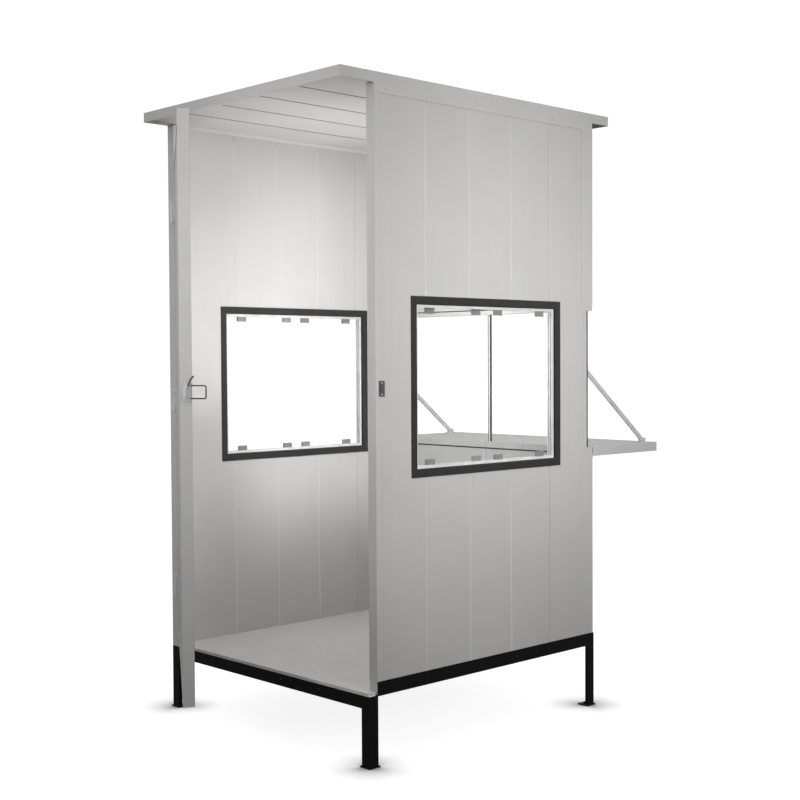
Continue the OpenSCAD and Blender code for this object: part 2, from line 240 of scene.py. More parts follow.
class Graph:
    """The node tree of one material, or of the world."""

    def __init__(self, name, owners=None):
        self.owner = (bpy.data.materials if owners is None else owners).new(name)
        self.owner.use_nodes = True
        self.tree = self.owner.node_tree
        self.tree.nodes.clear()
        self.place = None

    def add(self, kind, settings=None, given=None):
        """A node of a type, with its settings made first and its sockets filled after."""
        node = self.tree.nodes.new("ShaderNode" + kind)
        for key, value in (settings or {}).items():
            if key == "stops":
                ramp = node.color_ramp.elements
                while len(ramp) < len(value):
                    ramp.new(0.5)
                for stop, (spot, shade) in zip(ramp, value):
                    stop.position, stop.color = spot, (shade, shade, shade, 1.0)
            else:
                setattr(node, key, value)
        for key, value in (given or {}).items():
            socket = node.inputs[key]
            if isinstance(value, Value):
                value = value.socket
            if isinstance(value, bpy.types.NodeSocket):
                self.tree.links.new(value, socket)
            else:
                socket.default_value = value
        return node

    def where(self):
        """The place on the object, in metres."""
        if self.place is None:
            self.place = self.add("TexCoord").outputs["Object"]
        return self.place

    def stretched(self, x, y, z):
        return self.add("Mapping", given={"Vector": self.where(), "Scale": (x, y, z)}).outputs["Vector"]

    def noise(self, scale, detail=3.0, rough=0.5, vector=None):
        node = self.add(
            "TexNoise",
            given={"Vector": vector or self.where(), "Scale": scale, "Detail": detail, "Roughness": rough},
        )
        return Value(self, node.outputs["Fac"])

    def band(self, value, low, high, out_low=0.0, out_high=1.0):
        """A value read from one range into another, held at its ends."""
        node = self.add(
            "MapRange",
            {"interpolation_type": "SMOOTHSTEP"},
            {"Value": value, "From Min": low, "From Max": high, "To Min": out_low, "To Max": out_high},
        )
        return Value(self, node.outputs["Result"])

    def height(self):
        return Value(self, self.add("SeparateXYZ", given={"Vector": self.where()}).outputs["Z"])

    def blend(self, factor, first, second):
        node = self.add("Mix", {"data_type": "RGBA"}, {0: factor, 6: first, 7: second})
        return node.outputs[2]

    def bump(self, height, strength, distance):
        return self.add(
            "Bump", given={"Height": height, "Strength": strength, "Distance": distance}
        ).outputs["Normal"]

    def surface(self, given):
        shader = self.add("BsdfPrincipled", given=given)
        self.add("OutputMaterial", given={"Surface": shader.outputs["BSDF"]})
        return self.owner


def shade(rgb, scale):
    return (*[min(1.0, c * scale) for c in rgb], 1.0)


def painted_sheet(name, rgb, rough=0.42):
    """Satin prepainted steel: faint mottling, slight waves in the sheet, and a foot made darker, partly as
    dusty grime and partly as painted shade.
    """
    g = Graph(name)
    clouds = g.noise(2.2, 4.0, 0.55)
    streaks = g.noise(9.0, 3.0, 0.5, g.stretched(6.0, 6.0, 0.35))
    # Darker towards the foot: partly dusty grime, partly painted shade standing in for the dimmer light
    # low on the walls.
    foot_dust_and_shade = g.band(g.height() + clouds * 0.3, 0.95, 0.1)
    tone = g.blend(g.band(clouds, 0.3, 0.7), shade(rgb, 0.965), shade(rgb, 1.02))
    tone = g.blend(g.band(streaks, 0.52, 0.8) * 0.35, tone, shade(rgb, 0.9))
    # The foot's painted shade and grime darken the tone here.
    tone = g.blend(foot_dust_and_shade * 0.42, tone, shade(rgb, 0.7))
    fine = g.noise(900.0, 2.0, 0.6)
    wave = g.noise(5.0, 1.0, 0.4)
    return g.surface({
        "Base Color": tone,
        "Roughness": g.band(streaks + clouds * 0.5, 0.4, 1.1, rough - 0.05, rough + 0.09),
        "Specular IOR Level": 0.45,
        "Normal": g.bump(fine * 0.25 + wave * 0.9, 0.25, 0.0012),
    })


def black_paint(name, rgb):
    """Brushed on satin black with thin spots and dusty specks."""
    g = Graph(name)
    marks = g.noise(38.0, 5.0, 0.65)
    strokes = g.noise(60.0, 3.0, 0.5, g.stretched(1.0, 0.15, 1.0))
    tone = g.blend(g.band(marks, 0.62, 0.82) * 0.6, shade(rgb, 1.0), shade(rgb, 5.0))
    return g.surface({
        "Base Color": tone,
        "Roughness": g.band(marks, 0.3, 0.75, 0.42, 0.62),
        "Specular IOR Level": 0.22,
        "Normal": g.bump(strokes + marks * 0.5, 0.35, 0.0006),
    })


def powder_coat(name, rgb):
    """Fine grained powder coating."""
    g = Graph(name)
    grain = g.noise(1500.0, 2.0, 0.7)
    cloud = g.noise(7.0, 3.0, 0.5)
    tone = g.blend(g.band(cloud, 0.3, 0.7), shade(rgb, 0.88), shade(rgb, 1.15))
    return g.surface({
        "Base Color": tone,
        "Roughness": g.band(cloud, 0.3, 0.75, 0.44, 0.55),
        "Normal": g.bump(grain, 0.3, 0.0003),
    })


def brushed(name, rgb, rough, metal, run):
    """Metal with fine lines along one direction; run is the stretch of the lines."""
    g = Graph(name)
    lines = g.noise(520.0, 2.0, 0.5, g.stretched(*run))
    cloud = g.noise(14.0, 4.0, 0.55)
    tone = g.blend(g.band(cloud + lines * 0.4, 0.45, 0.95), shade(rgb, 0.86), shade(rgb, 1.06))
    return g.surface({
        "Base Color": tone,
        "Metallic": metal,
        "Roughness": g.band(lines + cloud * 0.5, 0.4, 1.1, rough - 0.07, rough + 0.08),
        "Normal": g.bump(lines, 0.18, 0.0003),
    })


def floor_sheet(name, rgb):
    """Steel faced board: long faint streaks, scuffs and footmarks."""
    g = Graph(name)
    lines = g.noise(30.0, 4.0, 0.6, g.stretched(0.25, 6.0, 1.0))
    scuffs = g.noise(6.5, 6.0, 0.68)
    tone = g.blend(g.band(lines, 0.35, 0.68), shade(rgb, 0.9), shade(rgb, 1.07))
    tone = g.blend(g.band(scuffs, 0.55, 0.78) * 0.5, tone, shade(rgb, 0.78))
    return g.surface({
        "Base Color": tone,
        "Roughness": g.band(lines + scuffs, 0.7, 1.3, 0.3, 0.47),
        "Metallic": 0.15,
        "Normal": g.bump(lines + scuffs * 0.6, 0.2, 0.0006),
    })


def clear_glass(name, rgb):
    """Clear float glass that turns more solid at a glancing view, with light smears."""
    g = Graph(name)
    facing = Value(g, g.add("LayerWeight", given={"Blend": 0.28}).outputs["Facing"])
    smear = g.noise(6.0, 5.0, 0.6, g.stretched(1.0, 1.0, 0.5))
    return g.surface({
        "Base Color": shade(rgb, 1.0),
        "Roughness": g.band(smear, 0.4, 0.8, 0.015, 0.07),
        "Alpha": facing ** 3.0 * 0.3 + g.band(smear, 0.45, 0.85, 0.035, 0.07),
        "Specular IOR Level": 0.6,
    })


def rubber(name, rgb):
    g = Graph(name)
    grain = g.noise(420.0, 3.0, 0.6)
    return g.surface({
        "Base Color": g.blend(g.band(grain, 0.3, 0.7), shade(rgb, 0.92), shade(rgb, 1.08)),
        "Roughness": g.band(grain, 0.3, 0.7, 0.62, 0.78),
        "Normal": g.bump(grain, 0.3, 0.0003),
    })


FINISHES = {}


def finish(name):
    """A finish by name, made once."""
    if name not in FINISHES:
        tones = bpy.context.scene.booth_finishes
        FINISHES[name] = {
            "panel": lambda: painted_sheet("Panel paint", tones.panel),
            "trim": lambda: painted_sheet("Trim paint", tones.trim, 0.38),
            "frame": lambda: black_paint("Frame paint", tones.frame),
            "charcoal": lambda: powder_coat("Charcoal coating", tones.charcoal),
            "channel": lambda: brushed("Channel aluminium", tones.channel, 0.42, 0.08, (1.0, 0.05, 0.05)),
            "pane": lambda: clear_glass("Window glass", tones.glass),
            "board": lambda: floor_sheet("Floor facing", tones.floor),
            "bright": lambda: brushed("Plated steel", tones.steel, 0.36, 0.35, (1.0, 1.0, 0.06)),
            "clip": lambda: powder_coat("Clip grey", tones.clip),
            "dark": lambda: powder_coat("Dark plating", tones.dark),
            # Silicone beads in a lighter tone that paints highlights along the joints.
            "sealant_highlight": lambda: rubber("Joint sealant", tones.sealant_highlight),
            "rubber": lambda: rubber("Rubber seal", tones.rubber),
        }[name]()
    return FINISHES[name]


# ---------------------------------------------------------------- mesh kit


def block(bm, low, high):
    """A box between two corners, given in any order."""
    a, b = [min(p) for p in zip(low, high)], [max(p) for p in zip(low, high)]
    v = [bm.verts.new((x, y, z)) for x in (a[0], b[0]) for y in (a[1], b[1]) for z in (a[2], b[2])]
    for f in ((0, 1, 3, 2), (4, 6, 7, 5), (0, 4, 5, 1), (2, 3, 7, 6), (0, 2, 6, 4), (1, 5, 7, 3)):
        bm.faces.new([v[i] for i in f])


def prism(bm, outline, low, high, axes):
    """An outline drawn on two axes and drawn out along the third, from low to high."""
    rings = []
    for w in (low, high):
        ring = []
        for p in outline:
            spot = [0.0, 0.0, 0.0]
            spot[axes[0]], spot[axes[1]], spot[axes[2]] = p[0], p[1], w
            ring.append(bm.verts.new(spot))
        rings.append(ring)
    n = len(outline)
    for i in range(n):
        bm.faces.new((rings[0][i], rings[0][(i + 1) % n], rings[1][(i + 1) % n], rings[1][i]))
    bm.faces.new(rings[0])
    bm.faces.new(rings[1])


def lathe(bm, outline, spot, axis, sides=20):
    """A turned solid: the outline gives radius and height, with the height along axis from spot."""
    turn = Vector((0, 0, 1)).rotation_difference(Vector(axis)).to_matrix()
    rings = []
    for r, h in outline:
        if r < 1e-7:
            rings.append([bm.verts.new(Vector(spot) + turn @ Vector((0, 0, h)))])
        else:
            rings.append([
                bm.verts.new(Vector(spot) + turn @ Vector((r * math.cos(a), r * math.sin(a), h)))
                for a in (math.tau * k / sides for k in range(sides))
            ])
    for low, high in zip(rings, rings[1:]):
        for k in range(sides):
            m = (k + 1) % sides
            if len(low) == 1:
                bm.faces.new((low[0], high[k], high[m]))
            elif len(high) == 1:
                bm.faces.new((low[k], low[m], high[0]))
            else:
                bm.faces.new((low[k], low[m], high[m], high[k]))


def tube(bm, path, r, sides=12):
    """A round bar along a path of points, closed at both ends."""
    path = [Vector(p) for p in path]
    rings = []
    for i, p in enumerate(path):
        before, after = path[max(i - 1, 0)], path[min(i + 1, len(path) - 1)]
        turn = Vector((0, 0, 1)).rotation_difference((after - before).normalized()).to_matrix()
        rings.append([
            bm.verts.new(p + turn @ Vector((r * math.cos(a), r * math.sin(a), 0)))
            for a in (math.tau * k / sides for k in range(sides))
        ])
    for low, high in zip(rings, rings[1:]):
        near = min(range(sides), key=lambda k: (high[k].co - low[0].co).length)
        for k in range(sides):
            a, b = (near + k) % sides, (near + k + 1) % sides
            bm.faces.new((low[k], low[(k + 1) % sides], high[b], high[a]))
    bm.faces.new(rings[0])
    bm.faces.new(rings[-1])


def rounded(points, r, cuts=5):
    """A path through points with its inner corners rounded."""
    points = [Vector(p) for p in points]
    path = [points[0]]
    for a, b, c in zip(points, points[1:], points[2:]):
        start, end = b + (a - b).normalized() * r, b + (c - b).normalized() * r
        for k in range(cuts + 1):
            t = k / cuts
            path.append(start.lerp(b, t).lerp(b.lerp(end, t), t))
    return path + [points[-1]]


def rivet(bm, spot, axis, r):
    """Domed blind rivet head with its centre dimple, its underside sunk a little."""
    dome = [(r, 0.22 * r), (0.86 * r, 0.36 * r), (0.55 * r, 0.46 * r), (0.32 * r, 0.48 * r)]
    dimple = [(0.24 * r, 0.2 * r), (0, 0.2 * r)]
    lathe(bm, [(0, -SUNK), (r, -SUNK), *dome, *dimple], spot, axis, 16)


def bolt(bm, spot, axis, r):
    """Hexagon head on a washer."""
    washer_r, washer_t, head_r, head_t = 1.7 * r, 0.25 * r, 1.15 * r, 0.75 * r
    lathe(bm, [(0, -SUNK), (washer_r, -SUNK), (washer_r, washer_t), (0, washer_t)], spot, axis, 28)
    seat = Vector(spot) + Vector(axis) * washer_t
    head = [(0, 0), (head_r, 0), (head_r, 0.6 * r), (0.95 * r, head_t), (0, head_t)]
    lathe(bm, head, seat, axis, 6)


def screw_heights(low, high, inset=0.016):
    """Three heights on a hinge leaf: near its foot, at its middle and near its top."""
    return low.z + inset, (low.z + high.z) / 2, high.z - inset


def ring(bm, low, high, width, across):
    """Four bars round the edge of a flat upright box whose thin side is the axis across."""
    along = Y if across == X else X
    low, high = Vector(low), Vector(high)
    foot, top = high.copy(), low.copy()
    foot.z, top.z = low.z + width, high.z - width
    block(bm, low, foot)
    block(bm, top, high)
    for near, far in ((low[along], low[along] + width), (high[along] - width, high[along])):
        a, b = Vector((low.x, low.y, foot.z)), Vector((high.x, high.y, top.z))
        a[along], b[along] = near, far
        block(bm, a, b)


def jointed(u0, u1, v0, v1, spots, sizes, slit_w=0.001):
    """Outline of a row of boards from u0 to u1, with a groove and a slit at each joint on both faces."""
    w, d = sizes.groove_w / 2, sizes.groove_d
    slit, deep = slit_w / 2, sizes.groove_d + sizes.slit_d
    notch = [(-w, 0.0), (-slit, d), (-slit, deep), (slit, deep), (slit, d), (w, 0.0)]
    spots = [s for s in spots if u0 + 4 * w < s < u1 - 4 * w]
    path = [(u0, v0)] + [(s + du, v0 + dv) for s in spots for du, dv in notch]
    path += [(u1, v0), (u1, v1)]
    return path + [(s - du, v1 - dv) for s in reversed(spots) for du, dv in notch] + [(u0, v1)]


def beads(bm, faces, spots, spans, axes, sizes):
    """Low domed beads of sealant in the grooves: faces are (place, inward sign) pairs."""
    w, low, high = sizes.bead_w / 2, sizes.groove_d * 0.8, sizes.groove_d * 0.25
    for face, inward in faces:
        for s in spots:
            outline = [(s - w, face + inward * low), (s - w * 0.4, face + inward * high),
                       (s + w * 0.4, face + inward * high), (s + w, face + inward * low),
                       (s, face + inward * sizes.groove_d)]
            for low_end, high_end in spans(s):
                prism(bm, outline, low_end, high_end, axes)


def steps(start, pitch, end):
    """Places from start to end at one pitch."""
    return [start + pitch * k for k in range(int((end - start) / pitch) + 1)] if end > start else []


def spread(low, high, pitch):
    """Evenly spaced places between two ends, about a pitch apart, with both ends."""
    n = max(1, round((high - low) / pitch))
    return [low + (high - low) * k / n for k in range(n + 1)]


def piece(name, bm, look, body, replaces=(), bevel=0.0, smooth=False, move=None):
    """Turns a mesh into a named piece with its finish, riding on a body."""
    bmesh.ops.recalc_face_normals(bm, faces=bm.faces)
    if move is not None:
        bmesh.ops.transform(bm, matrix=move, verts=bm.verts)
    mesh = bpy.data.meshes.new(name)
    bm.to_mesh(mesh)
    bm.free()
    mesh.materials.append(finish(look))
    if smooth:
        mesh.polygons.foreach_set("use_smooth", [True] * len(mesh.polygons))
    thing = bpy.data.objects.new(name, mesh)
    bpy.context.scene.collection.objects.link(thing)
    if bevel:
        edge = thing.modifiers.new("Edges", "BEVEL")
        edge.width, edge.segments, edge.limit_method = bevel, 2, "ANGLE"
        edge.angle_limit = math.radians(50)
    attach(thing, body)
    if replaces:
        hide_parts(*replaces)
    return thing


def cut_out(thing, low, high):
    """Cuts a box out of a piece's mesh."""
    bm = bmesh.new()
    block(bm, low, high)
    bmesh.ops.recalc_face_normals(bm, faces=bm.faces)
    mesh = bpy.data.meshes.new("cut")
    bm.to_mesh(mesh)
    bm.free()
    tool = bpy.data.objects.new("cut", mesh)
    bpy.context.scene.collection.objects.link(tool)
    cut = thing.modifiers.new("Cut", "BOOLEAN")
    cut.operation, cut.solver, cut.object = "DIFFERENCE", "EXACT", tool
    bpy.context.view_layer.update()
    view = bpy.context.evaluated_depsgraph_get()
    done = bpy.data.meshes.new_from_object(thing.evaluated_get(view))
    thing.modifiers.remove(cut)
    old, thing.data = thing.data, done
    bpy.data.meshes.remove(old)
    bpy.data.objects.remove(tool)
    bpy.data.meshes.remove(mesh)


# ---------------------------------------------------------------- pieces


class BOOTH_OT_finishes(bpy.types.Operator):
    """Gives every built part its finish"""

    bl_idname = "booth.finishes"
    bl_label = "Finish the Built Parts"
    bl_options = {"REGISTER", "UNDO"}

    def execute(self, context):
        looks = {s["node"]: s["material_slot"] for s in frame["record"]["subparts"]}
        for node, thing in frame["nodes"].items():
            thing.data.materials.clear()
            thing.data.materials.append(finish(looks[node]))
        return {"FINISHED"}


class BOOTH_OT_walls(bpy.types.Operator):
    """Builds the walls from jointed boards"""

    bl_idname = "booth.walls"
    bl_label = "Build the Walls"
    bl_options = {"REGISTER", "UNDO"}

    def execute(self, context):
        sizes = context.scene.booth_sizes
        lip, past, gap, clear = 0.010, 0.05, 0.002, 0.1
        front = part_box("frame_front")[0].y
        for side, start in (("left", sizes.left_start), ("right", sizes.right_start)):
            low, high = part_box(f"wall_{side}")
            bm = bmesh.new()
            spots = steps(front + start, sizes.pitch, high.y)
            prism(bm, jointed(low.y, high.y, low.x, high.x, spots, sizes), low.z, high.z, (Y, X, Z))
            wall = piece(f"wall_{side}_boards", bm, "panel", "booth", [f"wall_{side}"])
            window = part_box(f"window_frame_{side}")
            cut_out(
                wall,
                (low.x - past, window[0].y + lip, window[0].z + lip),
                (high.x + past, window[1].y - lip, window[1].z - lip),
            )
            bm = bmesh.new()
            ends = low.z + gap, high.z - sizes.trim_h

            def spans(s):
                if window[0].y < s < window[1].y:
                    return [(ends[0], window[0].z), (window[1].z, ends[1])]
                return [ends]

            beads(bm, ((low.x, 1), (high.x, -1)), spots[:-1], spans, (Y, X, Z), sizes)
            # Silicone beads drawn lighter than the panels: painted highlights along the joints.
            piece(f"wall_{side}_sealant", bm, "sealant_highlight", "booth")
        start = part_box("wall_back_lower")[0].x + sizes.back_start
        for node in ("wall_back_lower", "wall_back_upper", "hatch_sill"):
            low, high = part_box(node)
            bm = bmesh.new()
            spots = steps(start, sizes.pitch, high.x)
            prism(bm, jointed(low.x, high.x, low.y, high.y, spots, sizes), low.z, high.z, (X, Y, Z))
            piece(f"{node}_boards", bm, "panel", "booth", [node])
            if node != "hatch_sill":
                bm = bmesh.new()
                inside = [s for s in spots if low.x + clear < s < high.x - clear]
                faces = ((low.y, 1), (high.y, -1))
                ends = low.z + gap, high.z - (sizes.trim_h if node == "wall_back_upper" else gap)
                beads(bm, faces, inside, lambda s: [ends], (X, Y, Z), sizes)
                # Silicone beads drawn lighter than the panels: painted highlights along the joints.
                piece(f"{node}_sealant", bm, "sealant_highlight", "booth")
        return {"FINISHED"}


class BOOTH_OT_roof(bpy.types.Operator):
    """Builds the roof from jointed boards with a lipped rim"""

    bl_idname = "booth.roof"
    bl_label = "Build the Roof"
    bl_options = {"REGISTER", "UNDO"}

    def execute(self, context):
        sizes = context.scene.booth_sizes
        low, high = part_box("roof_panel")
        bm = bmesh.new()
        spots = steps(low.x + sizes.roof_start, sizes.pitch, high.x)
        outline = jointed(low.x, high.x, low.z, high.z, spots, sizes, sizes.slit_w)
        prism(bm, outline, low.y, high.y, (X, Z, Y))
        piece("roof_boards", bm, "panel", "booth", ["roof_panel"])
        # Dark strips down the roof's joint slits stand in for the shadow in them: painted shade.
        w, d = sizes.slit_w / 2, sizes.groove_d
        bm = bmesh.new()
        for s in spots:
            if low.x + 4 * w < s < high.x - 4 * w:
                block(bm, (s - w, low.y, low.z + d * 0.15), (s + w, high.y, low.z + d + sizes.slit_d))
        piece("roof_joint_shade_strips", bm, "rubber", "booth")
        low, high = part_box("roof_edge")
        lip, t = 0.018, sizes.sheet
        bm = bmesh.new()
        for a, b in ((low.y, low.y + lip), (high.y - lip, high.y)):
            block(bm, (low.x, a, low.z - t), (high.x, b, low.z))
        before, behind = 0.001, 0.002
        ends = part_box("wall_right")[0].y - before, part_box("wall_back_upper")[1].y + behind
        for x0, x1 in ((low.x, low.x + lip), (high.x - lip, high.x)):
            block(bm, (x0, low.y + lip, low.z - t), (x1, ends[0], low.z))
            block(bm, (x0, ends[1], low.z - t), (x1, high.y - lip, low.z))
        piece("roof_rim_lip", bm, "trim", "booth", bevel=0.0004)
        return {"FINISHED"}


class BOOTH_OT_trims(bpy.types.Operator):
    """Adds the folded trims: end caps, top strips, rear corners and ceiling coves"""

    bl_idname = "booth.trims"
    bl_label = "Add the Trims"
    bl_options = {"REGISTER", "UNDO"}

    def execute(self, context):
        sizes = context.scene.booth_sizes
        t = sizes.sheet
        self.end_caps(sizes, t)
        self.top_strips(sizes, t)
        self.rear_corners(sizes, t)
        self.coves(sizes)
        return {"FINISHED"}

    def cap(self, bm, low, high, end, toward, lip, t):
        """A channel over a wall's end: its web at y = end, its lips reaching towards the wall."""
        block(bm, (low.x - t, end - toward * t, low.z), (high.x + t, end, high.z))
        for x0, x1 in ((low.x - t, low.x), (high.x, high.x + t)):
            block(bm, (x0, end, low.z), (x1, end + toward * lip, high.z))

    def end_caps(self, sizes, t):
        for side in ("left", "right"):
            low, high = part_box(f"wall_{side}")
            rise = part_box(f"frame_side_{side}")[1].z
            bm = bmesh.new()
            foot = Vector((low.x, low.y, rise if side == "right" else low.z))
            self.cap(bm, foot, Vector((high.x, high.y, high.z - t)), low.y, 1, sizes.cap_lip, t)
            piece(f"end_cap_{side}", bm, "trim", "booth", bevel=0.0005)
            gap_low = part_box("hatch_sill")[1].z
            gap_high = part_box("hatch_head")[0].z
            bm = bmesh.new()
            self.cap(
                bm, Vector((low.x, low.y, gap_low)), Vector((high.x, high.y, gap_high)),
                high.y, -1, sizes.cap_lip, t,
            )
            piece(f"hatch_jamb_{side}", bm, "trim", "booth", bevel=0.0005)

    def top_strips(self, sizes, t):
        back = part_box("wall_back_upper")
        for side, sign in SIDES:
            low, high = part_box(f"wall_{side}")
            face = low.x if sign < 0 else high.x
            top = high.z - t
            bm = bmesh.new()
            block(
                bm, (face, low.y + sizes.cap_lip, top - sizes.trim_h),
                (face + sign * t, back[1].y, top),
            )
            piece(f"top_strip_{side}", bm, "trim", "booth", bevel=0.0005)
        low, high = back
        bm = bmesh.new()
        block(bm, (low.x, high.y, high.z - t - sizes.trim_h), (high.x, high.y + t, high.z - t))
        piece("top_strip_back", bm, "trim", "booth", bevel=0.0005)

    def rear_corners(self, sizes, t):
        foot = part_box("frame_back")[1].z
        lower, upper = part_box("wall_back_lower"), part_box("wall_back_upper")
        spans = (("lower", foot, lower[1].z), ("upper", upper[0].z, upper[1].z - t - sizes.trim_h))
        for side, sign in SIDES:
            x, y = sign * upper[1].x, upper[1].y
            for part, z0, z1 in spans:
                bm = bmesh.new()
                block(bm, (x, y - sizes.corner_w, z0), (x + sign * t, y + t, z1))
                block(bm, (x - sign * sizes.corner_w, y, z0), (x, y + t, z1))
                piece(f"corner_{side}_{part}", bm, "trim", "booth", bevel=0.0005)

    def coves(self, sizes):
        w, flat = sizes.cove_w, 0.002
        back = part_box("wall_back_upper")[0].y
        for side, sign in SIDES:
            low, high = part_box(f"wall_{side}")
            x = high.x if sign < 0 else low.x
            outline = [(x, high.z), (x, high.z - w), (x - sign * flat, high.z - w),
                       (x - sign * w, high.z - flat), (x - sign * w, high.z)]
            bm = bmesh.new()
            prism(bm, outline, low.y + sizes.cap_lip, back, (X, Z, Y))
            piece(f"cove_{side}", bm, "trim", "booth")
        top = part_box("wall_back_upper")[1].z
        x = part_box("wall_right")[0].x - w
        bm = bmesh.new()
        outline = [(back, top), (back, top - w), (back - flat, top - w), (back - w, top - flat),
                   (back - w, top)]
        prism(bm, outline, -x, x, (Y, Z, X))
        piece("cove_back", bm, "trim", "booth")


class BOOTH_OT_rivets(bpy.types.Operator):
    """Sets the rivets and screws of the booth and the base"""

    bl_idname = "booth.rivets"
    bl_label = "Set the Rivets"
    bl_options = {"REGISTER", "UNDO"}

    def execute(self, context):
        sizes = context.scene.booth_sizes
        t, r, apart = sizes.sheet, sizes.rivet_r, 0.3
        from_front, from_rear, from_side = 0.06, 0.03, 0.1
        from_foot, from_end, from_top = 0.12, 0.05, 0.06
        bm = bmesh.new()
        upper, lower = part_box("wall_back_upper"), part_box("wall_back_lower")
        for side, sign in SIDES:
            low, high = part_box(f"wall_{side}")
            face = (low.x if sign < 0 else high.x) + sign * t
            z = high.z - t - sizes.trim_h / 2
            for y in spread(low.y + from_front, upper[1].y - from_rear, sizes.rivet_pitch):
                rivet(bm, (face, y, z), (sign, 0, 0), r)
            below = lower[0].z + from_foot, lower[1].z - from_end
            above = upper[0].z + from_end, z - from_top
            for z0, z1 in (below, above):
                for z in spread(z0, z1, apart):
                    rivet(bm, (face, upper[1].y - sizes.corner_w / 2, z), (sign, 0, 0), r)
                    rivet(bm, (sign * (upper[1].x - sizes.corner_w / 2), upper[1].y + t, z), (0, 1, 0), r)
        for x in spread(upper[0].x + from_side, upper[1].x - from_side, sizes.rivet_pitch):
            rivet(bm, (x, upper[1].y + t, upper[1].z - t - sizes.trim_h / 2), (0, 1, 0), r)
        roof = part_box("roof_edge")
        inset, lip_middle, small_r = 0.08, 0.0085, r * 0.8
        for x in spread(roof[0].x + inset, roof[1].x - inset, apart):
            rivet(bm, (x, roof[0].y + lip_middle, roof[0].z - t), (0, 0, -1), small_r)
        piece("trim_rivets", bm, "trim", "booth", smooth=True)
        bm = bmesh.new()
        for side, sign in SIDES:
            low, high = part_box(f"frame_side_{side}")
            face = low.x if sign < 0 else high.x
            sunk, drop = 0.0021, 0.012
            for part in (0.035, 0.30, 0.52, 0.74, 0.965):
                y = low.y + (high.y - low.y) * part
                rivet(bm, (face - sign * sunk, y, high.z - drop), (sign, 0, 0), r)
        low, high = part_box("frame_front")
        inset, drop, apart = 0.25, 0.02, 0.28
        for x in spread(low.x + inset, high.x - inset, apart):
            rivet(bm, (x, low.y, high.z - drop), (0, -1, 0), small_r)
        piece("base_screws", bm, "dark", "booth", smooth=True)
        return {"FINISHED"}


class BOOTH_OT_windows(bpy.types.Operator):
    """Adds the glazing clips and seals of the side windows"""

    bl_idname = "booth.windows"
    bl_label = "Glaze the Windows"
    bl_options = {"REGISTER", "UNDO"}

    def execute(self, context):
        sizes = context.scene.booth_sizes
        for side, _ in SIDES:
            self.clips(side, sizes)
            self.seals(side, sizes)
        return {"FINISHED"}

    def clips(self, side, sizes):
        """Small blocks that grip each pane's top and bottom edge, with a screw on each face."""
        frame_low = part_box(f"window_frame_{side}")[0]
        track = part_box(f"window_track_{side}")
        inset, screw_r = 0.014, 0.0032
        half = Vector((sizes.clip_t, sizes.clip_l, sizes.clip_h)) / 2
        heights = track[0].z + inset + half.z, track[1].z - inset - half.z
        grips, screws = bmesh.new(), bmesh.new()
        for pane, along in (("front", 0.128), ("front", 0.394), ("rear", 0.515), ("rear", 0.777)):
            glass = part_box(f"glass_{side}_{pane}")
            for z in heights:
                spot = Vector(((glass[0].x + glass[1].x) / 2, frame_low.y + along, z))
                block(grips, spot - half, spot + half)
                for sign in (-1, 1):
                    rivet(screws, spot + Vector((sign * half.x, 0, 0)), (sign, 0, 0), screw_r)
        piece(f"glazing_clips_{side}", grips, "clip", "booth", bevel=0.0012)
        piece(f"clip_screws_{side}", screws, "clip", "booth", smooth=True)

    def seals(self, side, sizes):
        """Rubber beads between the frame and the aluminium channel, on both faces."""
        proud, sunk = 0.0015, 0.001
        low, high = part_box(f"window_track_{side}")
        for place, x0, x1 in (("in", low.x - proud, low.x + sunk), ("out", high.x - sunk, high.x + proud)):
            bm = bmesh.new()
            ring(bm, (x0, low.y, low.z), (x1, high.y, high.z), sizes.seal, X)
            piece(f"window_bead_{side}_{place}", bm, "rubber", "booth", bevel=0.0005)


